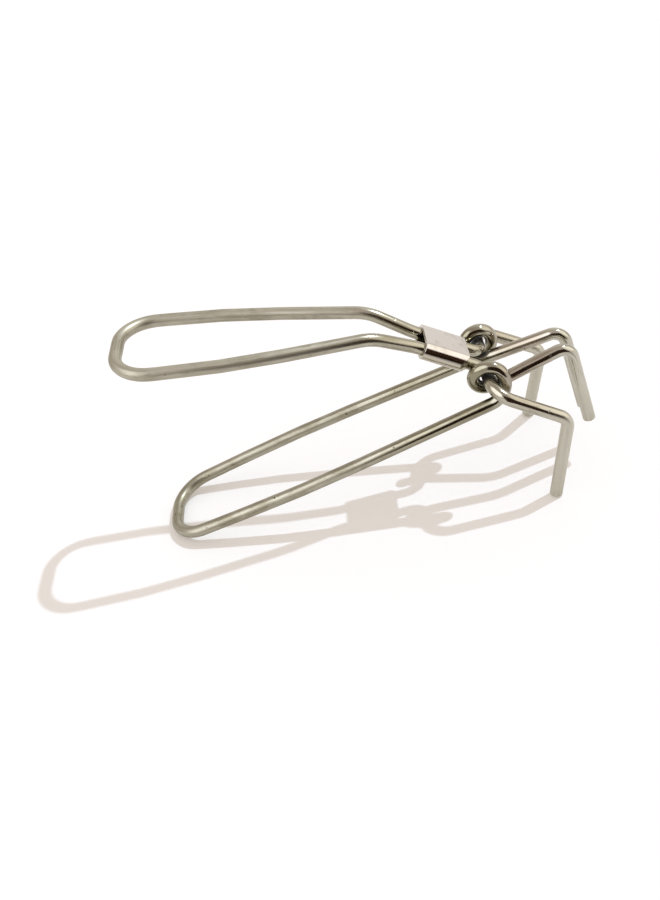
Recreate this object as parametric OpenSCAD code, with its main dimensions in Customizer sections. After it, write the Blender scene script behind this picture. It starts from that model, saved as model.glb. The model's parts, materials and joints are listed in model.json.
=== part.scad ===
// Wire clothespin. Two bent wires cross at a hinge: the upper wire runs through a
// crimped sleeve, turns outwards as two hinge pins and ends in two outer tines, and the
// lower wire is wound once round each pin as a ring and ends in two inner tines.
// Squeezing the handle loops swings the outer tines forwards past the inner ones.
// X points from the handles to the tines, Y across the loops and Z up. The pin stands on
// z = 0 on the end of its lower loop and on its outer tines.

/* [Wire] */
// Diameter of both wires
wire_d = 3; // [2.6:0.1:3.2]
// Chamfer round each cut wire end
end_chamfer = 0.3; // [0.1:0.1:0.6]

/* [Hinge] */
// Play between a hinge pin and the ring round it, on the radius
hinge_play = 0.4; // [0.4:0.05:0.8]
// Gap between the leg and the prong where they pass side by side under the pin
turn_gap = 0.45; // [0.4:0.05:0.8]
// How far the leg enters its ring below the line of the inner prong
ring_lead = 1.95; // [1.2:0.05:2.5]
// Distance out from a wire in the sleeve to the middle of the ring
ring_offset = 4.4; // [4.3:0.1:6]
// Bend radius from the sleeve out to the pin
pin_inner_bend_r = 3; // [2.6:0.1:3.4]
// Bend radius from the pin forwards to the outer prong
pin_outer_bend_r = 5.1; // [3:0.1:5.4]

/* [Handles] */
// Distance from the hinge axis back to the end bar of each loop
handle_reach = 81.8; // [74:0.1:90]
// Bend radius at the corners of the loop ends
loop_corner_r = 8.5; // [6:0.1:9.5]

/* [Lower handle] */
// Rise of the lower wire from its end bar to the hinge, in degrees
lower_slope = 16.3; // [13:0.1:18]
// Half the width of the lower loop at its end
lower_end_y = 10; // [9.8:0.1:11]
// Half the width of the lower loop where it is widest
lower_bow_y = 11.8; // [11:0.1:12]
// Distance from the hinge axis back to that widest place
lower_bow_x = 47.8; // [42:0.1:52]
// Bend radius of the slow bow of the legs there
lower_bow_r = 330; // [200:10:400]

/* [Upper handle] */
// Rise of the upper loop towards its end, in degrees
upper_tilt = 6.1; // [5:0.1:9]
// Half the width of the upper loop at its end
upper_end_y = 11.3; // [10:0.1:12]
// Half the width of the upper loop where its legs start to close in
upper_bow_y = 11.4; // [10.6:0.1:12]
// Distance from the hinge axis back to that place
upper_bow_x = 58; // [54:0.1:62]
// Bend radius of the slow bow of the legs there
upper_bow_r = 160; // [100:10:200]
// Distance from the sleeve back to the kink down into the neck
neck_len = 12.8; // [10:0.1:15]
// Half the width between the legs at that kink
neck_y = 5.7; // [5:0.1:6.5]
// Bend radius of the kink
kink_r = 12.6; // [8:0.1:15]
// Bend radius where the neck enters the sleeve
sleeve_entry_r = 16; // [8:1:20]

/* [Sleeve] */
// Length of the sleeve along the wires
sleeve_len = 10.9; // [8:0.1:12]
// Thickness of its sheet
sleeve_wall = 0.8; // [0.5:0.05:0.9]
// Half the distance between the two wires in it
wire_spacing = 3.3; // [2.9:0.1:3.6]
// Clearance between the sheet and the wires
crimp_gap = 0.02; // [0:0.01:0.05]
// Gap from the ring to the front of the sleeve
sleeve_gap = 0.25; // [0.2:0.05:1]
// Corner radius of the front edge, in plan
sleeve_corner_r = 1.8; // [0.5:0.1:2.5]
// Width of the open seam underneath
sleeve_seam = 0.3; // [0.1:0.05:0.6]

/* [Outer prongs and tines] */
// Fall of the sleeve, the pins and the outer prongs towards the front, in degrees
outer_pitch = 31.9; // [29:0.1:36]
// Distance along that slope from the hinge axis to the tine bend
outer_prong_len = 19.1; // [17:0.1:23]
// Distance out from the middle of the ring to the outer prong
outer_prong_offset = 6.2; // [6.1:0.1:8]
// How far the prong spreads further out before the tine bend
outer_prong_spread = 0.65; // [0:0.05:1.5]
// Bend radius from each prong down to its tine, on both wires
tine_bend_r = 3; // [2:0.1:4]
// Backward lean of the outer tines, in degrees
outer_tine_lean = 11.8; // [5:0.1:18]
// Outward lean of the outer tines, in degrees
outer_tine_splay = 4.7; // [0:0.1:8]

/* [Inner prongs and tines] */
// Distance along the slope from the hinge axis to the tine bend
inner_prong_len = 19.4; // [17:0.1:23]
// Half the distance between the prongs at the tine bend
inner_prong_y = 3.3; // [3:0.1:4]
// Length of the inner tines from the corner of that bend
inner_tine_len = 23; // [18:0.1:25]
// Forward lean of the inner tines, in degrees
inner_tine_lean = 10.1; // [4:0.1:14]
// Inward lean of the inner tines, in degrees
inner_tine_toe = 1.3; // [0:0.1:2]

/* [Hidden] */
$fn = 48;
eps = 0.01;
wire_r = wire_d / 2;
bend_d = wire_d - eps;
bend_overlap = 0.05;

function unit(v) = v / norm(v);

// --- The hinge. The leg of the lower wire runs in ring_lead below the ring.
ring_r = wire_d + hinge_play;
turn_pitch = wire_d + turn_gap;
ring_y = wire_spacing + ring_offset;
leg_drop = ring_r + ring_lead;
hinge_z = wire_r + handle_reach * tan(lower_slope) + leg_drop / cos(lower_slope);
hinge = [0, 0, hinge_z];

// --- The lower wire lies in one plane up to its tines: along it and square to it.
lower_along = [cos(lower_slope), 0, sin(lower_slope)];
lower_up = [-sin(lower_slope), 0, cos(lower_slope)];
function lower_point(along, y, up) = hinge + along * lower_along + up * lower_up + [0, y, 0];
// A point of the lower legs, x behind the hinge axis
function lower_leg(x, y) =
    lower_point((-x - leg_drop * sin(lower_slope)) / cos(lower_slope), y, -leg_drop);

// --- The upper wire falls at outer_pitch from its kink to the end of its prongs.
outer_along = [cos(outer_pitch), 0, -sin(outer_pitch)];
function outer_point(along, y) = hinge + along * outer_along + [0, y, 0];
sleeve_front = ring_r + wire_r + sleeve_gap;
sleeve_rear = sleeve_front + sleeve_len;
// The neck's corner lies as far behind the sleeve as its bend needs
neck_angle = atan((neck_y - wire_spacing) / neck_len);
entry_x = sleeve_rear + sleeve_entry_r * tan(neck_angle / 2) + eps;
kink = outer_point(-sleeve_rear - neck_len, neck_y);
// A point of the upper legs, x behind the hinge axis
function upper_leg(x, y) = [-x, y, kink.z + (x + kink.x) * tan(upper_tilt)];

// --- Tines: their directions, and the height at which a leaning cut end meets z = 0
function tine_way(forward, outward) = unit([tan(forward), tan(outward), -1]);
function end_rise(way) =
    let (side = sqrt(1 - way.z * way.z))
    max((wire_r - end_chamfer) * side, wire_r * side + end_chamfer * way.z);
function end_reach(way) =
    let (side = sqrt(1 - way.x * way.x))
    max((wire_r - end_chamfer) * side, wire_r * side - end_chamfer * way.x);
outer_way = tine_way(-outer_tine_lean, outer_tine_splay);
outer_y = ring_y + outer_prong_offset;
outer_corner = outer_point(outer_prong_len, outer_y + outer_prong_spread);
outer_tip = outer_corner + outer_way * (end_rise(outer_way) - outer_corner.z) / outer_way.z;
inner_way = tine_way(inner_tine_lean, -inner_tine_toe);
inner_corner = lower_point(inner_prong_len, inner_prong_y, -ring_r);
inner_tip = inner_corner + inner_tine_len * inner_way;

// --- Half of each wire as corners with their bend radii, from the middle of the end bar
// of its loop to the tip of its tine
upper_half = [
    [upper_leg(handle_reach, 0), 0],
    [upper_leg(handle_reach, upper_end_y), loop_corner_r],
    [upper_leg(upper_bow_x, upper_bow_y), upper_bow_r],
    [kink, kink_r],
    [outer_point(-entry_x, wire_spacing), sleeve_entry_r],
    [outer_point(0, wire_spacing), pin_inner_bend_r],
    [outer_point(0, outer_y), pin_outer_bend_r],
    [outer_corner, tine_bend_r],
    [outer_tip, 0],
];
// A ring is four corners round the pin that step inwards by thirds of its pitch
leg_y = ring_y + turn_pitch / 2;
lower_half = [
    [lower_leg(handle_reach, 0), 0],
    [lower_leg(handle_reach, lower_end_y), loop_corner_r],
    [lower_leg(lower_bow_x, lower_bow_y), lower_bow_r],
    [lower_point(ring_r, leg_y, -leg_drop), leg_drop],
    [lower_point(ring_r, leg_y - turn_pitch / 3, ring_r), ring_r],
    [lower_point(-ring_r, leg_y - turn_pitch * 2 / 3, ring_r), ring_r],
    [lower_point(-ring_r, leg_y - turn_pitch, -ring_r), ring_r],
    [inner_corner, tine_bend_r],
    [inner_tip, 0],
];

// The X origin lies midway between the loop ends and the front of the inner tines
middle_x = (inner_tip.x + end_reach(inner_way) - handle_reach - wire_r) / 2;

// --- How a wire is bent: at each corner i of its path the straight wire is fed forward,
// rolled about its own axis and bent. The bend at the middle of the end bar is nothing
// but the plane from which the first roll is counted.
function way(path, i) = unit(path[i + 1][0] - path[i][0]);
function bend_axis(path, i) =
    i == 0 ? [0, 0, -1] : unit(cross(way(path, i - 1), way(path, i)));
function turn(path, i) = acos(way(path, i - 1) * way(path, i));
function setback(path, i) =
    i == 0 || i == len(path) - 1 ? 0 : path[i][1] * tan(turn(path, i) / 2);
function feed(path, i) =
    norm(path[i + 1][0] - path[i][0]) - setback(path, i) - setback(path, i + 1);
function roll(path, i) =
    let (before = bend_axis(path, i - 1), after = bend_axis(path, i))
    atan2(way(path, i - 1) * cross(before, after), before * after);

// The place and direction of the wire after a bend towards +X
module past_bend(radius, angle) {
    translate([radius, 0, 0])
        rotate([0, angle, 0])
            translate([-radius, 0, 0])
                children();
}

// A bend from +Z towards +X. It is a hair thinner than the straights and reaches a
// little way into them, so that no two surfaces touch along a line.
module bend(radius, angle) {
    extra = bend_overlap / radius * 180 / PI;
    translate([radius, 0, 0])
        rotate([90, 0, 180])
            rotate(-extra)
                rotate_extrude(angle = angle + 2 * extra)
                    translate([radius, 0])
                        circle(d = bend_d);
}

// The wire from corner i of its path to the chamfered cut at its end, along +Z
module run(path, i) {
    last = i == len(path) - 2;
    straight = feed(path, i) - (last ? end_chamfer : 0);
    cylinder(d = wire_d, h = straight);
    translate([0, 0, straight])
        if (last)
            cylinder(d1 = wire_d, d2 = wire_d - 2 * end_chamfer, h = end_chamfer);
        else
            rotate([0, 0, roll(path, i + 1)]) {
                bend(path[i + 1][1], turn(path, i + 1));
                past_bend(path[i + 1][1], turn(path, i + 1)) run(path, i + 1);
            }
}

// The whole wire, mirrored about the middle of its end bar
module bent_wire(half) {
    for (side = [0, 1])
        mirror([0, side, 0])
            translate(half[0][0])
                rotate([-90, 0, 0])
                    run(half, 0);
}

module upper_wire() {
    color("silver")
        translate([-middle_x, 0, 0])
            bent_wire(upper_half);
}

module lower_wire() {
    color("darkgray")
        translate([-middle_x, 0, 0])
            bent_wire(lower_half);
}

// Section of the sleeve, grown by a margin round the two wires
module sleeve_section(margin) {
    radius = wire_r + margin;
    square([2 * radius, 2 * wire_spacing], center = true);
    for (side = [-1, 1]) translate([0, side * wire_spacing]) circle(r = radius);
}

// Plan of the sleeve from its front edge, with the two front corners rounded
module sleeve_plan() {
    half = wire_spacing + wire_r + crimp_gap + sleeve_wall;
    translate([sleeve_corner_r, -half]) square([sleeve_len - sleeve_corner_r, 2 * half]);
    translate([0, sleeve_corner_r - half]) square([sleeve_len, 2 * (half - sleeve_corner_r)]);
    for (side = [-1, 1])
        translate([sleeve_corner_r, side * (half - sleeve_corner_r)])
            circle(r = sleeve_corner_r);
}

module sleeve() {
    height = 2 * (wire_r + crimp_gap + sleeve_wall);
    color("gainsboro")
        translate(hinge - [middle_x, 0, 0])
            rotate([0, outer_pitch - 90, 0])
                translate([0, 0, sleeve_front])
                    difference() {
                        intersection() {
                            linear_extrude(sleeve_len)
                                sleeve_section(crimp_gap + sleeve_wall);
                            rotate([0, -90, 0])
                                linear_extrude(height, center = true)
                                    sleeve_plan();
                        }
                        translate([0, 0, -eps])
                            linear_extrude(sleeve_len + 2 * eps) {
                                sleeve_section(crimp_gap);
                                translate([-height / 2, 0])
                                    square([height, sleeve_seam], center = true);
                            }
                    }
}

upper_wire();
sleeve();
lower_wire();
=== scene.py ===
import json
import math

import bmesh
import bpy
from bpy.props import FloatProperty, FloatVectorProperty, IntProperty, PointerProperty
from mathutils import Matrix, Vector


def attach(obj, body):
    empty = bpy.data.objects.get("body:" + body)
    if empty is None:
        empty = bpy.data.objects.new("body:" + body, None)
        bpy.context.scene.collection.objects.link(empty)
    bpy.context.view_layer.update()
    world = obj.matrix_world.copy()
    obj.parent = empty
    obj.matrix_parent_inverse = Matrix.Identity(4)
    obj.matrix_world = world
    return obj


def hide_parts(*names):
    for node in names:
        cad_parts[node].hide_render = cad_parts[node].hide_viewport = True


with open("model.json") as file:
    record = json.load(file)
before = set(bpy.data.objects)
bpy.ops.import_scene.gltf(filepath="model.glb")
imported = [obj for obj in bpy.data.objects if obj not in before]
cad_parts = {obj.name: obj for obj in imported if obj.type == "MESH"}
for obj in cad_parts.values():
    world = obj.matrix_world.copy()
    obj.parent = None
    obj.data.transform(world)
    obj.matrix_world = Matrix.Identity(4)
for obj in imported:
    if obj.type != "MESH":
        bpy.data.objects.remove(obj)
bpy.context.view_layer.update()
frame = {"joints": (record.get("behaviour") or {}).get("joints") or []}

bl_info = {
    "name": "Wire clothespin",
    "version": (1, 0, 0),
    "blender": (4, 5, 0),
    "location": "3D View > Sidebar > Clothespin",
    "description": "Two bent wires hinged on coiled rings, with a crimped sleeve",
    "category": "Add Mesh",
}

MM = 0.001
HINGE = Vector(frame["joints"][0]["pos_m"])
DRAWN = "drawn"
FACE_SIDE = "face_side"
FACE_UP = "face_up"


# --- The sizes and colours that a user may change ---


def length(name, description, mm):
    """A length property, given in millimetres and held in metres."""
    return FloatProperty(
        name=name, description=description, default=mm * MM, unit="LENGTH", precision=5
    )


def angle(name, description, degrees):
    """An angle property, given in degrees and held in radians."""
    return FloatProperty(
        name=name, description=description, default=math.radians(degrees), unit="ROTATION"
    )


def share(name, description, value, high=1.0):
    """A plain number from 0 to high."""
    return FloatProperty(
        name=name, description=description, default=value, min=0.0, max=high, precision=3
    )


def count(name, description, value, low=1):
    """A number of faces, low or more."""
    return IntProperty(name=name, description=description, default=value, min=low)


def colour(name, description, value):
    """A linear colour."""
    return FloatVectorProperty(
        name=name, description=description, default=value, subtype="COLOR", min=0.0, max=1.0
    )


class WireSizes(bpy.types.PropertyGroup):
    """The wire and the hinge."""

    diameter: length("Wire", "Diameter of both wires", 3)
    end_chamfer: length("End chamfer", "Chamfer round each cut wire end", 0.3)
    play: length("Hinge play", "Play between a pin and the ring round it", 0.4)
    turn_gap: length("Turn gap", "Gap between leg and prong under the pin", 0.45)
    ring_lead: length("Ring lead", "How far the leg enters below the prong's line", 1.95)
    ring_offset: length("Ring offset", "From a wire in the sleeve to the ring's middle", 4.4)
    inner_bend: length("Inner pin bend", "Bend radius from the sleeve out to the pin", 3)
    outer_bend: length("Outer pin bend", "Bend radius from the pin to the outer prong", 5.1)
    sides: count("Sides", "Faces round the wire", 48, 12)
    step: length("Step", "Longest face along a straight", 1.2)
    bend_step: angle("Bend step", "Angle of each face along a bend", 5)
    flattening: share("Flattening", "How much a tight bend flattens the wire", 0.07)


class HandleSizes(bpy.types.PropertyGroup):
    """The two loops that are the handles."""

    reach: length("Reach", "From the hinge axis back to the end bar of each loop", 81.8)
    corner: length("Loop corner", "Bend radius at the corners of the loop ends", 8.5)
    lower_slope: angle("Lower slope", "Rise of the lower wire towards the hinge", 16.3)
    lower_end: length("Lower end", "Half the width of the lower loop at its end", 10)
    lower_bow: length("Lower bow", "Half the width of the lower loop at its widest", 11.8)
    lower_bow_x: length("Lower bow place", "From the hinge axis back to the widest place", 47.8)
    lower_bow_r: length("Lower bow radius", "Radius of the slow bow of the lower legs", 330)
    upper_tilt: angle("Upper tilt", "Rise of the upper loop towards its end", 6.1)
    upper_end: length("Upper end", "Half the width of the upper loop at its end", 11.3)
    upper_bow: length("Upper bow", "Half the width where the upper legs close in", 11.4)
    upper_bow_x: length("Upper bow place", "From the hinge axis back to that place", 58)
    upper_bow_r: length("Upper bow radius", "Radius of the slow bow of the upper legs", 160)
    neck: length("Neck", "From the sleeve back to the kink", 12.8)
    neck_y: length("Neck width", "Half the width between the legs at the kink", 5.7)
    kink_r: length("Kink radius", "Bend radius of the kink", 12.6)
    entry_r: length("Sleeve entry", "Bend radius where the neck enters the sleeve", 16)


class TineSizes(bpy.types.PropertyGroup):
    """The prongs and tines in front of the hinge."""

    pitch: angle("Pitch", "Fall of the sleeve, the pins and the outer prongs", 31.9)
    outer_len: length("Outer prong", "Along that slope from the hinge to the tine bend", 19.1)
    outer_offset: length("Outer offset", "From the middle of the ring to the outer prong", 6.2)
    outer_spread: length("Outer spread", "How far the prong spreads before its bend", 0.65)
    bend: length("Tine bend", "Bend radius from each prong down to its tine", 3)
    outer_lean: angle("Outer lean", "Backward lean of the outer tines", 11.8)
    outer_splay: angle("Outer splay", "Outward lean of the outer tines", 4.7)
    inner_len: length("Inner prong", "Along the lower slope from the hinge to the bend", 19.4)
    inner_y: length("Inner prong y", "Half the distance between the prongs at the bend", 3.3)
    inner_tine: length("Inner tine", "Length of the inner tines from the bend's corner", 23)
    inner_lean: angle("Inner lean", "Forward lean of the inner tines", 10.1)
    inner_toe: angle("Inner toe", "Inward lean of the inner tines", 1.3)


class SleeveSizes(bpy.types.PropertyGroup):
    """The crimped sheet sleeve on the upper wire."""

    length: length("Sleeve length", "Length of the sleeve along the wires", 10.9)
    wall: length("Sleeve wall", "Thickness of the sheet", 0.8)
    spacing: length("Wire spacing", "Half the distance between the two wires in it", 3.3)
    crimp_gap: length("Crimp gap", "Clearance between the sheet and the wires", 0.02)
    gap: length("Sleeve gap", "Gap from the ring to the front of the sleeve", 0.25)
    corner: length("Front corner", "Corner radius of the front edge, in plan", 1.8)
    seam: length("Seam", "Width of the open seam underneath", 0.3)
    edge: length("Edge", "Rounding of the sheet's cut edges", 0.12)
    edge_steps: count("Edge steps", "Faces round each cut edge", 3)
    side_steps: count("Side steps", "Faces round each rounded side", 24)
    top_steps: count("Top steps", "Faces across the flat top", 8)
    under_steps: count("Underside steps", "Faces from a rounded side to the seam", 3)
    steps: count("Steps", "Faces along the sleeve", 12)


class FinishColours(bpy.types.PropertyGroup):
    """Colours and gloss of the metals."""

    bright: colour("Bright wire", "Plating of the upper wire", (0.545, 0.516, 0.433))
    dull: colour("Dull wire", "Plating of the lower wire", (0.53, 0.512, 0.435))
    sheet: colour("Sleeve", "Plating of the sleeve", (0.66, 0.62, 0.58))
    # Also used for the painted shade on the wires just behind the hinge.
    tarnish: colour("Tarnish", "Darker film in streaks and hollows", (0.22, 0.195, 0.12))
    line: colour("Draw line", "Dirt in the draw lines of a wire", (0.12, 0.10, 0.065))
    pit: colour("Pit", "Dirt in the pits of a wire", (0.07, 0.06, 0.04))
    # Painted reflection: a dark brown cast on the prongs next to the hinge.
    prong: colour("Prong", "Brown cast of the prongs", (0.28, 0.20, 0.15))
    # Painted reflection: the tines paler for the bright floor they mirror; their matt roughness
    # is their own.
    tine: colour("Tine", "Pale matt metal of the tines", (0.58, 0.56, 0.48))
    # Painted shade: a near-black colour for the bores of the rings and pins.
    grime: colour("Grime", "Grime inside the rings", (0.03, 0.027, 0.02))
    # Painted shade: the sleeve darker below its rounded sides.
    underside: colour("Underside", "Sleeve below its rounded sides", (0.42, 0.38, 0.29))
    # Painted reflection: a dark band along the sleeve's rounded sides.
    rim: colour("Rim", "Dark band along the sleeve's rounded sides", (0.09, 0.07, 0.045))
    bright_roughness: share("Bright roughness", "Roughness of the upper wire", 0.44)
    dull_roughness: share("Dull roughness", "Roughness of the lower wire", 0.38)
    sheet_roughness: share("Sleeve roughness", "Roughness of the sleeve's faces", 0.30)
    bright_pits: share("Bright pits", "How far the upper wire is pitted", 0.2)
    bright_streaks: share("Bright streaks", "How far the upper wire is streaked", 0.45)
    dull_pits: share("Dull pits", "How far the lower wire is pitted", 0.9)
    dull_streaks: share("Dull streaks", "How far the lower wire is streaked", 0.7)


class StageSettings(bpy.types.PropertyGroup):
    """The floor, the light and the camera."""

    floor: length("Floor", "Side of the floor", 6000)
    floor_colour: colour("Floor colour", "Colour of the floor", (0.82, 0.82, 0.82))
    floor_lift: share("Floor lift", "Light that the floor shows on top of its own", 0.225)
    lift_colour: colour("Lift colour", "Colour of that light", (1.0, 0.93, 0.85))
    backdrop: colour("Backdrop", "What the camera sees past the floor", (1.0, 1.0, 1.0))
    ambient: colour("Ambient", "Light from all round", (0.700, 0.632, 0.590))
    key_colour: colour("Key colour", "Colour of the key light", (0.745, 0.863, 1.0))
    key: share("Key", "Strength of the key light", 1.62, 10.0)
    key_angle: angle("Key angle", "Apparent size of the key light", 0.9)
    key_from: FloatVectorProperty(
        name="Key from", description="Direction to the key light", subtype="DIRECTION",
        default=(0.636, 0.283, 1.0),
    )
    card_colour: colour("Card colour", "Colour of the dark card", (0.045, 0.025, 0.015))
    card_left: length("Card left", "Left side of the dark card", -35)
    card_width: length("Card width", "Width of the dark card", 290)
    card_edge: length("Card edge", "Where the card starts on the floor, before the part", -122)
    card_back: length("Card back", "Where the card turns up", -215)
    card_lift: length("Card lift", "Height of the card over the floor", 1)
    card_top: length("Card top", "Height of the part that stands up", 255)
    camera_at: FloatVectorProperty(
        name="Camera", description="Place of the camera", subtype="TRANSLATION", unit="LENGTH",
        default=(0.00734, -0.19780, 0.16854),
    )
    camera_turn: FloatVectorProperty(
        name="Camera turn", description="Rotation of the camera", subtype="EULER",
        default=tuple(math.radians(a) for a in (51.144, 10.641, -3.241)),
    )
    view_angle: angle("View angle", "Vertical field of view", 47.67)
    near_clip: length("Near clip", "Nearest that the camera sees", 5)


# --- The wire paths: corners with the radius of the bend at each ---


def slope_point(along, y, up, slope):
    """A point along a plane that rises by slope towards the front, from the hinge axis."""
    return HINGE + Vector(
        (
            along * math.cos(slope) - up * math.sin(slope),
            y,
            along * math.sin(slope) + up * math.cos(slope),
        )
    )


def lean(forward, outward):
    """The direction down a tine."""
    return Vector((math.tan(forward), math.tan(outward), -1)).normalized()


def ring_radius(scene):
    return scene.wire.diameter + scene.wire.play


def sleeve_front(scene):
    """From the hinge axis back to the front of the sleeve."""
    return ring_radius(scene) + scene.wire.diameter / 2 + scene.sleeve.gap


def upper_half(scene):
    """Corners of half of the upper wire, from the corner of its loop to its tine."""
    wire, hand, tine, sleeve = scene.wire, scene.handles, scene.tines, scene.sleeve
    fall = -tine.pitch
    rear = sleeve_front(scene) + sleeve.length
    kink = slope_point(-rear - hand.neck, hand.neck_y, 0, fall)
    half_neck = math.atan((hand.neck_y - sleeve.spacing) / hand.neck) / 2
    entry = rear + hand.entry_r * math.tan(half_neck)
    outer_y = sleeve.spacing + wire.ring_offset + tine.outer_offset
    corner = slope_point(tine.outer_len, outer_y + tine.outer_spread, 0, fall)
    way = lean(-tine.outer_lean, tine.outer_splay)
    across = math.sqrt(1 - way.z**2)
    rise = (wire.diameter / 2 - wire.end_chamfer) * across

    def leg(x, y):
        back = HINGE.x - x
        return Vector((back, y, kink.z + (kink.x - back) * math.tan(hand.upper_tilt)))

    return [
        (leg(hand.reach, hand.upper_end), hand.corner),
        (leg(hand.upper_bow_x, hand.upper_bow), hand.upper_bow_r),
        (kink, hand.kink_r),
        (slope_point(-entry, sleeve.spacing, 0, fall), hand.entry_r),
        (slope_point(0, sleeve.spacing, 0, fall), wire.inner_bend),
        (slope_point(0, outer_y, 0, fall), wire.outer_bend),
        (corner, tine.bend),
        (corner + way * (rise - corner.z) / way.z, 0),
    ]


def lower_half(scene):
    """Corners of half of the lower wire: its leg, its ring round the pin and its tine."""
    wire, hand, tine = scene.wire, scene.handles, scene.tines
    rise, radius = hand.lower_slope, ring_radius(scene)
    drop = radius + wire.ring_lead
    pitch = wire.diameter + wire.turn_gap
    leg_y = scene.sleeve.spacing + wire.ring_offset + pitch / 2
    corner = slope_point(tine.inner_len, tine.inner_y, -radius, rise)

    def leg(x, y):
        return slope_point((-x - drop * math.sin(rise)) / math.cos(rise), y, -drop, rise)

    return [
        (leg(hand.reach, hand.lower_end), hand.corner),
        (leg(hand.lower_bow_x, hand.lower_bow), hand.lower_bow_r),
        (slope_point(radius, leg_y, -drop, rise), drop),
        (slope_point(radius, leg_y - pitch / 3, radius, rise), radius),
        (slope_point(-radius, leg_y - pitch * 2 / 3, radius, rise), radius),
        (slope_point(-radius, leg_y - pitch, -radius, rise), radius),
        (corner, tine.bend),
        (corner + tine.inner_tine * lean(tine.inner_lean, -tine.inner_toe), 0),
    ]


def whole_path(half):
    """Both halves of a wire, from the tip of one tine to the tip of the other."""
    other = [(Vector((p.x, -p.y, p.z)), radius) for p, radius in reversed(half)]
    return other + half


# --- Bending a wire ---


def axes_matrix(origin, across, up, along):
    """A matrix from three unit axes and an origin."""
    turned = Matrix((across, up, along)).transposed().to_4x4()
    return Matrix.Translation(origin) @ turned


def loop_of(geometry):
    """The vertices of new geometry and the edges that join them."""
    verts = [g for g in geometry if isinstance(g, bmesh.types.BMVert)]
    new = set(verts)
    edges = [g for g in geometry if isinstance(g, bmesh.types.BMEdge)]
    return verts, [e for e in edges if new.issuperset(e.verts)]


class BentWire:
    """A wire in the making: a loop of edges that is fed straight on or spun round a bend."""

    def __init__(self, wire, start, way):
        self.wire, self.at, self.way, self.fed = wire, start.copy(), way, 0.0
        self.mesh = bmesh.new()
        self.drawn = self.mesh.verts.layers.float_vector.new(DRAWN)
        radius = wire.diameter / 2
        side = Vector((0, 1, 0)).cross(way).normalized()
        self.place = axes_matrix(start, side, way.cross(side), way)
        made = bmesh.ops.create_circle(
            self.mesh, cap_ends=True, segments=wire.sides,
            radius=radius - wire.end_chamfer, matrix=self.place,
        )
        self.verts = made["verts"]
        self.edges = self.mesh.edges[:]
        for v in self.verts:
            here = self.place.inverted() @ v.co
            v[self.drawn] = (here.x, here.y, 0.0)
        self.feed_end(1 / (1 - wire.end_chamfer / radius))

    def mark(self):
        """Writes how far the wire is drawn on the newest loop."""
        for v in self.verts:
            across = v[self.drawn]
            v[self.drawn] = (across[0], across[1], self.fed)

    def extrude(self, distance):
        """One ring of faces straight on."""
        made = bmesh.ops.extrude_edge_only(self.mesh, edges=self.edges)
        self.verts, self.edges = loop_of(made["geom"])
        bmesh.ops.translate(self.mesh, verts=self.verts, vec=self.way * distance)
        self.at += self.way * distance
        self.fed += distance
        self.mark()

    def feed(self, distance):
        """Feeds the wire straight on in short steps."""
        steps = max(1, math.ceil(distance / self.wire.step))
        for _ in range(steps):
            self.extrude(distance / steps)

    def feed_end(self, growth):
        """The chamfer at a cut end: the loop widens or narrows as it goes on."""
        self.extrude(self.wire.end_chamfer)
        here = axes_matrix(self.at, *self.square_axes())
        sized = here @ Matrix.Diagonal((growth, growth, 1, 1)) @ here.inverted()
        bmesh.ops.transform(self.mesh, matrix=sized, verts=self.verts)

    def square_axes(self):
        """Any two axes square to the wire, and the wire's own."""
        side = self.way.orthogonal().normalized()
        return side, self.way.cross(side), self.way

    def bend(self, radius, after):
        """Spins the loop round a bend until the wire points along after."""
        axis = self.way.cross(after).normalized()
        turn = self.way.angle(after)
        inward = axis.cross(self.way)
        centre = self.at + inward * radius
        steps = max(2, math.ceil(turn / self.wire.bend_step))
        squeeze = self.wire.flattening * self.wire.diameter / (2 * radius)
        rounds = []
        for i in range(1, steps + 1):
            made = bmesh.ops.spin(
                self.mesh, geom=self.edges, cent=centre, axis=axis, angle=turn / steps,
                steps=1, use_duplicate=False,
            )
            self.verts, self.edges = loop_of(made["geom_last"])
            self.fed += radius * turn / steps
            self.mark()
            spun = Matrix.Rotation(turn * i / steps, 3, axis)
            rounds.append((self.verts, spun, math.sin(math.pi * i / steps)))
        for verts, spun, amount in rounds[:-1]:
            k = squeeze * amount
            here = axes_matrix(
                centre - spun @ inward * radius, spun @ inward, axis, spun @ self.way
            )
            flat = here @ Matrix.Diagonal((1 - k, 1 + k / 2, 1, 1)) @ here.inverted()
            bmesh.ops.transform(self.mesh, matrix=flat, verts=verts)
        spun = Matrix.Rotation(turn, 3, axis)
        self.at = centre - spun @ inward * radius
        self.way = after

    def cut(self):
        """Chamfers and closes the last end."""
        self.feed_end(1 - self.wire.end_chamfer / (self.wire.diameter / 2))
        bmesh.ops.edgeloop_fill(self.mesh, edges=self.edges)


def bend_wire(wire, path):
    """Bends a whole wire along a path of corners and returns its mesh."""
    ways = [(b[0] - a[0]).normalized() for a, b in zip(path, path[1:])]
    setback = [0.0]
    for i in range(1, len(path) - 1):
        setback.append(path[i][1] * math.tan(ways[i - 1].angle(ways[i]) / 2))
    setback.append(0.0)
    bent = BentWire(wire, path[0][0], ways[0])
    for i, way in enumerate(ways):
        straight = (path[i + 1][0] - path[i][0]).length - setback[i] - setback[i + 1]
        last = i == len(ways) - 1
        straight -= wire.end_chamfer * ((i == 0) + last)
        bent.feed(straight)
        if last:
            bent.cut()
        else:
            bent.bend(path[i + 1][1], ways[i + 1])
    return bent.mesh


# --- Finishing pieces ---

DOUBLES = 1e-7
SHARP = math.radians(34)
BEVELLED = math.radians(50)


def object_from(mesh, name, material):
    """A new object at the origin, made from a bmesh that is then freed."""
    data = bpy.data.meshes.new(name)
    mesh.to_mesh(data)
    mesh.free()
    made = bpy.data.objects.new(name, data)
    bpy.context.scene.collection.objects.link(made)
    data.materials.append(material)
    return made


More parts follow.
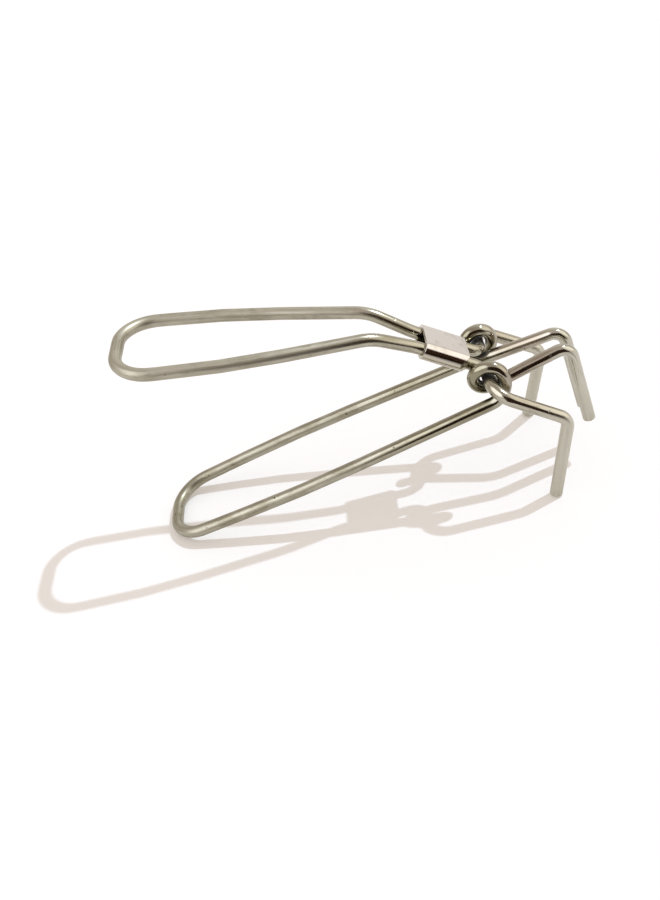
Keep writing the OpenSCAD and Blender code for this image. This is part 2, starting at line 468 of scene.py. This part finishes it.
def finish_piece(mesh, name, body, node, material):
    """Turns a bmesh into a finished piece that rides on a body and stands for a CAD node."""
    bmesh.ops.remove_doubles(mesh, verts=mesh.verts[:], dist=DOUBLES)
    bmesh.ops.recalc_face_normals(mesh, faces=mesh.faces[:])
    for face in mesh.faces:
        face.smooth = True
    for edge in mesh.edges:
        edge.smooth = len(edge.link_faces) != 2 or edge.calc_face_angle() < SHARP
    piece = object_from(mesh, name, material)
    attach(piece, body)
    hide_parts(node)
    return piece


# --- Materials ---

# Noises. The third axis of a wire's noise runs along the wire.
DRAW_LINES = {"scale": 1500.0, "stretch": (1, 1, 0.03), "detail": 4.0, "roughness": 0.6}
FINE_LINES = {"scale": 3800.0, "stretch": (1, 1, 0.02), "detail": 2.0, "roughness": 0.5}
STAINS = {"scale": 260.0, "stretch": (1, 1, 0.45), "detail": 5.0, "roughness": 0.62}
PIT_AREAS = {"scale": 900.0, "stretch": (1, 1, 0.6), "detail": 2.0}
PIT_SCALE = 620.0
SHEET_GRAIN = {"scale": 2600.0, "detail": 3.0, "roughness": 0.6}
SHEET_STAINS = {"scale": 340.0, "detail": 4.0, "roughness": 0.6}

# The values of a noise between which a mask rises or falls.
PIT_EDGE = (0.07, 0.20)
PIT_AREA_EDGE = (0.53, 0.62)
LINE_EDGE = (0.004, 0.03)
LINE_STAINS = (0.42, 0.62)
FILM_STAINS = (0.42, 0.64)
FINE_FILM = (0.35, 0.70)
SHEET_FILM = (0.5, 0.8)

# Masks round the hinge: millimetres from its axis, where each rises and falls.
HANDLE_END = (-5, 15)
BEHIND_HINGE = (-32, -16, -3, 3)
BEFORE_HINGE = (1, 6, 13, 18)
TINE_TOP = (-12, -5)
TINE_BACK = (5, 10)
RUBBED = (18, 45)
SHADE_EDGE = 1
# Painted shade in the bores: full and no shade by radius, then the span along the axis.
PIN_SHADE = (2, 3, 5.6, 9.4)
RING_SHADE = (2, 2.7, 4, 12)

# How far each layer covers the plating.
FINE_TARNISH = 0.35
HANDLE_TARNISH = 0.55
# How far the wires are painted darker round the hinge: shade behind it, a dark reflection on
# the prongs.
HINGE_PAINTED_DARKNESS = 0.5
STAIN_TARNISH = 0.65
TINE_FLOOR_REFLECTION = 0.62
SHEET_TARNISH = 0.35
# How far the painted shade in the bores takes away the metal.
SHADE_COVER = 0.85

# What each layer does to the roughness.
STAIN_ROUGHNESS = 0.36
TINE_ROUGHNESS = 0.28
PIT_AND_SHADE_ROUGHNESS = 0.4
RUBBED_ROUGHNESS = 0.34
GRAIN_ROUGHNESS = 0.16
SIDE_ROUGHNESS = 0.22

# Relief of the surfaces.
LINE_HEIGHT, FINE_HEIGHT, PIT_DEPTH = 0.7, 0.5, 1.6
WIRE_BUMP = {"Strength": 0.4, "Distance": 0.05 * MM}
SHEET_BUMP = {"Strength": 0.25, "Distance": 0.03 * MM}

# Painted shade and a painted reflection on the sleeve, by how far its outside faces up, from -1
# to 1.
UNDERSIDE_SHADE = (-0.15, 0.25)
UNDERSIDE_SHADE_COVER = 0.8
RIM_REFLECTION = (-0.04, 0.14, 0.26, 0.42)
RIM_REFLECTION_COVER = 0.8


class Nodes:
    """Adds nodes to a material or a world."""

    def __init__(self, owner):
        owner.use_nodes = True
        self.tree = owner.node_tree
        self.tree.nodes.clear()

    def add(self, kind, settings=None, **inputs):
        """A node with its settings, and its inputs by name."""
        node = self.tree.nodes.new("ShaderNode" + kind)
        for key, value in (settings or {}).items():
            setattr(node, key, value)
        for key, value in inputs.items():
            self.put(node, key.replace("_", " "), value)
        return node

    def put(self, node, name, value):
        """Sets or links one input, given by its name or its number."""
        socket = node.inputs[int(name)] if name.isdigit() else node.inputs[name]
        if isinstance(value, bpy.types.NodeSocket):
            self.tree.links.new(value, socket)
        elif isinstance(value, bpy.types.Node):
            self.tree.links.new(value.outputs[0], socket)
        else:
            socket.default_value = value

    def math(self, operation, a, b=0.0, clamp=False):
        node = self.add("Math", {"operation": operation, "use_clamp": clamp})
        self.put(node, "0", a)
        self.put(node, "1", b)
        return node.outputs[0]

    def times(self, a, b, clamp=False):
        return self.math("MULTIPLY", a, b, clamp)

    def plus(self, a, b, clamp=False):
        return self.math("ADD", a, b, clamp)

    def minus(self, a, b):
        return self.math("SUBTRACT", a, b)

    def vary(self, value, noise, amount):
        """A value that a noise moves up and down."""
        return self.plus(self.times(self.minus(noise, 0.5), amount), value)

    def blend(self, factor, a, b):
        node = self.add("Mix", {"data_type": "RGBA"})
        for name, value in (("0", factor), ("6", a), ("7", b)):
            self.put(node, name, value)
        return node.outputs[2]

    def spread(self, value, low, high, to_low=0.0, to_high=1.0):
        """Rises smoothly from to_low at low to to_high at high."""
        node = self.add("MapRange", {"interpolation_type": "SMOOTHSTEP"})
        for i, number in enumerate((value, low, high, to_low, to_high)):
            self.put(node, str(i), number)
        return node.outputs[0]

    def fade(self, value, low, high, start=1.0):
        """Falls smoothly from start at low to 0 at high."""
        return self.spread(value, low, high, start, 0.0)

    def band(self, value, low, full, still_full, high):
        """1 between two values, with soft edges."""
        return self.times(self.spread(value, low, full), self.fade(value, still_full, high))

    def noise(self, vector, scale, stretch=(1, 1, 1), detail=3.0, roughness=0.5):
        mapped = self.add("Mapping", Vector=vector, Scale=stretch)
        texture = self.add(
            "TexNoise", Vector=mapped, Scale=scale, Detail=detail, Roughness=roughness
        )
        return texture.outputs[0]

    def place(self, axis):
        """A coordinate of the piece."""
        here = self.add("TexCoord").outputs["Object"]
        return self.add("SeparateXYZ", Vector=here).outputs[axis]


def with_alpha(value):
    """A colour as a socket takes it."""
    return (*value, 1.0)


def wire_metal(name, looks, base, roughness, pits, streaks, bore):
    """Plated drawn wire: draw lines along it, soft stains, fine pits and painted shade in the
    bores of the hinge.
    """
    material = bpy.data.materials.new(name)
    n = Nodes(material)
    drawn = n.add("Attribute", {"attribute_name": DRAWN}).outputs["Vector"]
    along = n.noise(drawn, **DRAW_LINES)
    fine = n.noise(drawn, **FINE_LINES)
    stain = n.noise(drawn, **STAINS)
    cells = n.add("TexVoronoi", {"feature": "F1"}, Vector=drawn, Scale=PIT_SCALE)
    pit_area = n.spread(n.noise(drawn, **PIT_AREAS), *PIT_AREA_EDGE)
    pit = n.times(n.fade(cells.outputs["Distance"], *PIT_EDGE), pit_area)
    off_middle = n.math("ABSOLUTE", n.minus(along, 0.5))
    line = n.times(n.fade(off_middle, *LINE_EDGE), n.spread(stain, *LINE_STAINS))
    film = n.times(n.spread(stain, *FILM_STAINS), on_handle(n))
    grime = grime_in_bore(n, *(distance * MM for distance in bore))
    layers = (
        (n.times(n.spread(fine, *FINE_FILM), FINE_TARNISH), looks.tarnish),
        (n.times(on_handle(n), HANDLE_TARNISH * streaks), looks.tarnish),
        # Painted shade: the wires just behind the hinge darkened with the tarnish colour.
        (n.times(behind_hinge(n), HINGE_PAINTED_DARKNESS * pits), looks.tarnish),
        # Painted reflection: the prongs browned as if they mirrored a dark surrounding.
        (n.times(before_hinge(n), HINGE_PAINTED_DARKNESS * pits), looks.prong),
        (n.times(line, streaks), looks.line),
        (n.times(film, STAIN_TARNISH * streaks), looks.tarnish),
        (n.times(pit, pits), looks.pit),
        # Painted reflection: the tines painted paler for the floor they mirror.
        (n.times(on_tine(n), TINE_FLOOR_REFLECTION), looks.tine),
        # Painted shade: the bores of the hinge painted near black and matt.
        (grime, looks.grime),
    )
    mixed = with_alpha(base)
    for amount, tint in layers:
        mixed = n.blend(amount, mixed, with_alpha(tint))
    rough = n.times(n.vary(roughness, stain, STAIN_ROUGHNESS), rubbed(n))
    rough = n.plus(rough, n.times(on_tine(n), TINE_ROUGHNESS))
    rough = n.plus(rough, n.times(n.plus(pit, grime), PIT_AND_SHADE_ROUGHNESS), clamp=True)
    height = n.plus(n.times(along, LINE_HEIGHT), n.times(fine, FINE_HEIGHT))
    height = n.minus(height, n.times(pit, PIT_DEPTH))
    bump = n.add("Bump", Height=height, **WIRE_BUMP)
    metallic = n.minus(1.0, n.times(grime, SHADE_COVER))
    shader = n.add(
        "BsdfPrincipled", Base_Color=mixed, Metallic=metallic, Roughness=rough, Normal=bump
    )
    n.add("OutputMaterial", Surface=shader)
    return material


def past_hinge(axis, distances):
    """Places along an axis, from millimetres past the hinge axis."""
    return [HINGE["XYZ".index(axis)] + distance * MM for distance in distances]


def from_axis(n):
    """How far a point is from the hinge axis."""
    away = n.add("VectorMath", {"operation": "MULTIPLY_ADD"})
    n.put(away, "0", n.add("TexCoord").outputs["Object"])
    n.put(away, "1", (1, 0, 1))
    n.put(away, "2", (-HINGE.x, 0, -HINGE.z))
    far = n.add("VectorMath", {"operation": "LENGTH"})
    n.put(far, "0", away.outputs[0])
    return far.outputs["Value"]


def grime_in_bore(n, inner, outer, low, high):
    """The painted shade in a bore: 1 inside a radius round the hinge axis and between two
    distances from the middle.
    """
    side = n.math("ABSOLUTE", n.place("Y"))
    between = n.band(side, low - SHADE_EDGE * MM, low, high, high + SHADE_EDGE * MM)
    return n.times(n.fade(from_axis(n), inner, outer), between)


def on_handle(n):
    """1 on the handles and less on the prongs and tines, which stay cleaner."""
    return n.fade(n.place("X"), *past_hinge("X", HANDLE_END))


def behind_hinge(n):
    """1 just behind the hinge, where the wires are painted darker as shade between the parts.
    """
    return n.band(n.place("X"), *past_hinge("X", BEHIND_HINGE))


def before_hinge(n):
    """1 on the prongs, which are painted brown as a dark reflection."""
    return n.band(n.place("X"), *past_hinge("X", BEFORE_HINGE))


def on_tine(n):
    """1 on the tines, which are matt and are painted paler as a reflection of the bright floor.
    """
    low = n.fade(n.place("Z"), *past_hinge("Z", TINE_TOP))
    return n.times(low, n.spread(n.place("X"), *past_hinge("X", TINE_BACK)))


def rubbed(n):
    """Less than 1 near the hinge, where forming and use have polished the metal."""
    near, far = RUBBED
    return n.spread(from_axis(n), near * MM, far * MM, RUBBED_ROUGHNESS, 1.0)


def sheet_metal(name, looks):
    """Rolled plated sheet: satin on its flats and glossier on its rounded sides, with a painted
    dark reflection along those sides and painted shade underneath.
    """
    material = bpy.data.materials.new(name)
    n = Nodes(material)
    where = n.add("TexCoord").outputs["Object"]
    side = n.add("Attribute", {"attribute_name": FACE_SIDE}).outputs["Fac"]
    up = n.add("Attribute", {"attribute_name": FACE_UP}).outputs["Fac"]
    grain = n.noise(where, **SHEET_GRAIN)
    stain = n.noise(where, **SHEET_STAINS)
    layers = (
        (n.times(n.spread(stain, *SHEET_FILM), SHEET_TARNISH), looks.tarnish),
        # Painted shade: the underside darkened by how far it faces down.
        (n.fade(up, *UNDERSIDE_SHADE, UNDERSIDE_SHADE_COVER), looks.underside),
        # Painted reflection: a near-black band along the rounded sides.
        (n.times(n.band(up, *RIM_REFLECTION), n.times(side, RIM_REFLECTION_COVER)), looks.rim),
    )
    mixed = with_alpha(looks.sheet)
    for amount, tint in layers:
        mixed = n.blend(amount, mixed, with_alpha(tint))
    satin = n.vary(looks.sheet_roughness, grain, GRAIN_ROUGHNESS)
    rough = n.times(satin, n.spread(side, 0.0, 1.0, 1.0, SIDE_ROUGHNESS), clamp=True)
    bump = n.add("Bump", Height=grain, **SHEET_BUMP)
    shader = n.add(
        "BsdfPrincipled", Base_Color=mixed, Metallic=1.0, Roughness=rough, Normal=bump
    )
    n.add("OutputMaterial", Surface=shader)
    return material


# --- The operators, one for each piece ---


class CLOTHESPIN_OT_upper_wire(bpy.types.Operator):
    """Bends the upper wire: its loop, neck, hinge pins and outer tines"""

    bl_idname = "clothespin.upper_wire"
    bl_label = "Bend upper wire"

    def execute(self, context):
        scene = context.scene
        looks = scene.finishes
        metal = wire_metal(
            "bright_plated_wire", looks, looks.bright, looks.bright_roughness,
            looks.bright_pits, looks.bright_streaks, PIN_SHADE,
        )
        mesh = bend_wire(scene.wire, whole_path(upper_half(scene)))
        finish_piece(
            mesh, "upper_handle_wire", "upper_handle", "upper_wire", metal
        )
        return {"FINISHED"}


class CLOTHESPIN_OT_lower_wire(bpy.types.Operator):
    """Bends the lower wire: its loop, the two rings and the inner tines"""

    bl_idname = "clothespin.lower_wire"
    bl_label = "Bend lower wire"

    def execute(self, context):
        scene = context.scene
        looks = scene.finishes
        metal = wire_metal(
            "dull_plated_wire", looks, looks.dull, looks.dull_roughness,
            looks.dull_pits, looks.dull_streaks, RING_SHADE,
        )
        mesh = bend_wire(scene.wire, whole_path(lower_half(scene)))
        finish_piece(
            mesh, "lower_handle_wire", "lower_handle", "lower_wire", metal
        )
        return {"FINISHED"}


class CLOTHESPIN_OT_sleeve(bpy.types.Operator):
    """Rolls the sheet sleeve round the upper wire and rounds its front corners"""

    bl_idname = "clothespin.sleeve"
    bl_label = "Roll sleeve"

    def execute(self, context):
        scene = context.scene
        mesh = rolled_sleeve(scene)
        metal = sheet_metal("sleeve_sheet", scene.finishes)
        piece = finish_piece(
            mesh, "crimped_sleeve", "upper_handle", "sleeve", metal
        )
        rounding = piece.modifiers.new("Rounded edges", "BEVEL")
        rounding.width = scene.sleeve.edge
        rounding.segments = scene.sleeve.edge_steps
        rounding.limit_method = "ANGLE"
        rounding.angle_limit = BEVELLED
        return {"FINISHED"}


def rolled_sleeve(scene):
    """The sheet's outside as one strip, from seam to seam, drawn to length and thickened."""
    sleeve, wire = scene.sleeve, scene.wire
    radius = wire.diameter / 2 + sleeve.crimp_gap + sleeve.wall
    mesh = bmesh.new()
    side = mesh.verts.layers.float.new(FACE_SIDE)
    up = mesh.verts.layers.float.new(FACE_UP)
    start = mesh.verts.new((-radius, sleeve.seam / 2, 0))
    ends = [start]

    def go(distance, steps):
        for _ in range(steps):
            made = bmesh.ops.extrude_vert_indiv(mesh, verts=[ends[-1]])
            new = made["verts"][0]
            new.co.y += distance / steps
            ends.append(new)

    def round_wire(y):
        made = bmesh.ops.spin(
            mesh, geom=[ends[-1]], cent=(0, y, 0), axis=(0, 0, 1), angle=-math.pi,
            steps=sleeve.side_steps, use_duplicate=False,
        )
        ends.append(loop_of(made["geom_last"])[0][0])

    flat = sleeve.spacing - sleeve.seam / 2
    go(flat, sleeve.under_steps)
    round_wire(sleeve.spacing)
    go(-2 * sleeve.spacing, sleeve.top_steps)
    round_wire(-sleeve.spacing)
    go(flat, sleeve.under_steps)
    for v in mesh.verts:
        out = abs(v.co.y) - sleeve.spacing
        v[side] = max(0.0, min(1.0, out / (radius / 2)))
        v[up] = v.co.x / radius
    half = sleeve.spacing + radius
    edges = mesh.edges[:]
    for _ in range(sleeve.steps):
        verts, edges = loop_of(bmesh.ops.extrude_edge_only(mesh, edges=edges)["geom"])
        bmesh.ops.translate(mesh, verts=verts, vec=(0, 0, sleeve.length / sleeve.steps))
    bmesh.ops.recalc_face_normals(mesh, faces=mesh.faces[:])
    bmesh.ops.solidify(mesh, geom=mesh.faces[:], thickness=sleeve.wall)
    for v in mesh.verts:
        over = abs(v.co.y) - (half - sleeve.corner)
        if over > 0:
            over = min(over, sleeve.corner)
            back = sleeve.corner - math.sqrt(max(sleeve.corner**2 - over**2, 0.0))
            v.co.z = back + v.co.z * (sleeve.length - back) / sleeve.length
    place = axes_matrix(
        HINGE,
        Vector((math.sin(scene.tines.pitch), 0, math.cos(scene.tines.pitch))),
        Vector((0, -1, 0)),
        Vector((-math.cos(scene.tines.pitch), 0, math.sin(scene.tines.pitch))),
    ) @ Matrix.Translation((0, 0, sleeve_front(scene)))
    bmesh.ops.transform(mesh, matrix=place, verts=mesh.verts[:])
    return mesh


class CLOTHESPIN_OT_stage(bpy.types.Operator):
    """Sets the floor, the light and the camera"""

    bl_idname = "clothespin.stage"
    bl_label = "Set stage"

    def execute(self, context):
        scene = context.scene
        settings = scene.stage
        scene.view_settings.view_transform = "Standard"
        self.floor(settings)
        self.card(settings)
        self.light(scene, settings)
        self.camera(scene, settings)
        return {"FINISHED"}

    def floor(self, settings):
        """A pale floor, which the camera and the metal see a little brighter."""
        mesh = bmesh.new()
        bmesh.ops.create_grid(mesh, x_segments=1, y_segments=1, size=settings.floor / 2)
        material = bpy.data.materials.new("pale_floor")
        n = Nodes(material)
        diffuse = n.add("BsdfDiffuse", Color=with_alpha(settings.floor_colour))
        lift = n.add(
            "Emission", Color=with_alpha(settings.lift_colour), Strength=settings.floor_lift
        )
        lifted = n.add("AddShader")
        n.put(lifted, "0", diffuse)
        n.put(lifted, "1", lift)
        chosen = n.add("MixShader", Fac=seen_directly(n))
        n.put(chosen, "1", diffuse)
        n.put(chosen, "2", lifted)
        n.add("OutputMaterial", Surface=chosen)
        object_from(mesh, "floor", material)

    def card(self, settings):
        """A dark card under and behind the camera, which only the metal shows."""
        mesh = bmesh.new()
        corner = mesh.verts.new((settings.card_left, settings.card_edge, settings.card_lift))
        made = bmesh.ops.extrude_vert_indiv(mesh, verts=[corner])
        made["verts"][0].co.x += settings.card_width
        edges = mesh.edges[:]
        for way in ((0, settings.card_back - settings.card_edge, 0), (0, 0, settings.card_top)):
            verts, edges = loop_of(bmesh.ops.extrude_edge_only(mesh, edges=edges)["geom"])
            bmesh.ops.translate(mesh, verts=verts, vec=way)
        material = bpy.data.materials.new("dark_card")
        n = Nodes(material)
        paint = n.add("BsdfDiffuse", Color=with_alpha(settings.card_colour))
        n.add("OutputMaterial", Surface=paint)
        card = object_from(mesh, "card", material)
        card.visible_camera = card.visible_diffuse = card.visible_shadow = False

    def light(self, scene, settings):
        """The key light, and a world that differs for the camera, the metal and the rest."""
        lamp = bpy.data.lights.new("key", "SUN")
        lamp.energy = settings.key
        lamp.color = settings.key_colour
        lamp.angle = settings.key_angle
        key = bpy.data.objects.new("key", lamp)
        key.rotation_euler = Vector(settings.key_from).to_track_quat("Z", "Y").to_euler()
        scene.collection.objects.link(key)
        world = bpy.data.worlds.new("room")
        scene.world = world
        n = Nodes(world)
        toward = n.add("TexCoord").outputs["Generated"]
        ambient = n.add("Background", Color=with_alpha(settings.ambient), Strength=1.0)
        room = n.add("Background", Color=room_colours(n, toward), Strength=1.0)
        backdrop = n.add("Background", Color=with_alpha(settings.backdrop), Strength=1.0)
        path = n.add("LightPath")
        mirrored = n.add("MixShader", Fac=path.outputs["Is Glossy Ray"])
        n.put(mirrored, "1", ambient)
        n.put(mirrored, "2", room)
        seen = n.add("MixShader", Fac=path.outputs["Is Camera Ray"])
        n.put(seen, "1", mirrored)
        n.put(seen, "2", backdrop)
        n.add("OutputWorld", Surface=seen)

    def camera(self, scene, settings):
        lens = bpy.data.cameras.new("camera")
        lens.sensor_fit = "VERTICAL"
        lens.angle = settings.view_angle
        lens.clip_start = settings.near_clip
        camera = bpy.data.objects.new("camera", lens)
        camera.location = settings.camera_at
        camera.rotation_euler = settings.camera_turn
        scene.collection.objects.link(camera)
        scene.camera = camera


def seen_directly(n):
    """1 for what the camera sees, straight on or in metal."""
    path = n.add("LightPath")
    rays = n.plus(path.outputs["Is Camera Ray"], path.outputs["Is Glossy Ray"])
    return n.plus(rays, path.outputs["Is Transmission Ray"], clamp=True)


# What the metal mirrors. A patch: its direction, where its edge starts and ends (as the
# cosine of the angle from that direction) and its colour, which may be brighter than white.
WALLS = (0.78, 0.71, 0.65)
CEILING = (0.72, 0.64, 0.60)
CEILING_EDGE = (0.1, 0.8)
PATCHES = (
    ((-0.66, -0.42, 0.62), (0.80, 0.94), (2.5, 2.54, 2.68)),
    ((0.20, 0.87, 0.45), (0.70, 0.95), (0.99, 0.96, 0.92)),
    ((0.86, -0.08, 0.50), (0.82, 0.95), (1.6, 1.54, 1.42)),
)


def room_colours(n, toward):
    """Walls, a ceiling, and patches to the left, behind and to the right."""
    height = n.add("SeparateXYZ", Vector=toward).outputs["Z"]
    colours = n.blend(n.spread(height, *CEILING_EDGE), with_alpha(WALLS), with_alpha(CEILING))
    for way, edge, tint in PATCHES:
        dot = n.add("VectorMath", {"operation": "DOT_PRODUCT"})
        n.put(dot, "0", toward)
        n.put(dot, "1", Vector(way).normalized())
        near = n.spread(dot.outputs["Value"], *edge)
        colours = n.blend(near, colours, with_alpha(tint))
    return colours


class CLOTHESPIN_PT_build(bpy.types.Panel):
    """Lists the pieces and the stage"""

    bl_idname = "CLOTHESPIN_PT_build"
    bl_label = "Wire clothespin"
    bl_space_type = "VIEW_3D"
    bl_region_type = "UI"
    bl_category = "Clothespin"

    def draw(self, context):
        for operator in OPERATORS:
            self.layout.operator(operator.bl_idname)


SETTINGS = {
    "wire": WireSizes,
    "handles": HandleSizes,
    "tines": TineSizes,
    "sleeve": SleeveSizes,
    "finishes": FinishColours,
    "stage": StageSettings,
}
OPERATORS = (
    CLOTHESPIN_OT_upper_wire,
    CLOTHESPIN_OT_sleeve,
    CLOTHESPIN_OT_lower_wire,
    CLOTHESPIN_OT_stage,
)


def register():
    for group in SETTINGS.values():
        bpy.utils.register_class(group)
    for operator in OPERATORS:
        bpy.utils.register_class(operator)
    bpy.utils.register_class(CLOTHESPIN_PT_build)
    for name, group in SETTINGS.items():
        setattr(bpy.types.Scene, name, PointerProperty(type=group))


def unregister():
    for name in SETTINGS:
        delattr(bpy.types.Scene, name)
    bpy.utils.unregister_class(CLOTHESPIN_PT_build)
    for operator in reversed(OPERATORS):
        bpy.utils.unregister_class(operator)
    for group in reversed(SETTINGS.values()):
        bpy.utils.unregister_class(group)


def main():
    register()
    bpy.ops.clothespin.upper_wire()
    bpy.ops.clothespin.sleeve()
    bpy.ops.clothespin.lower_wire()
    bpy.ops.clothespin.stage()


if __name__ == "__main__":
    main()
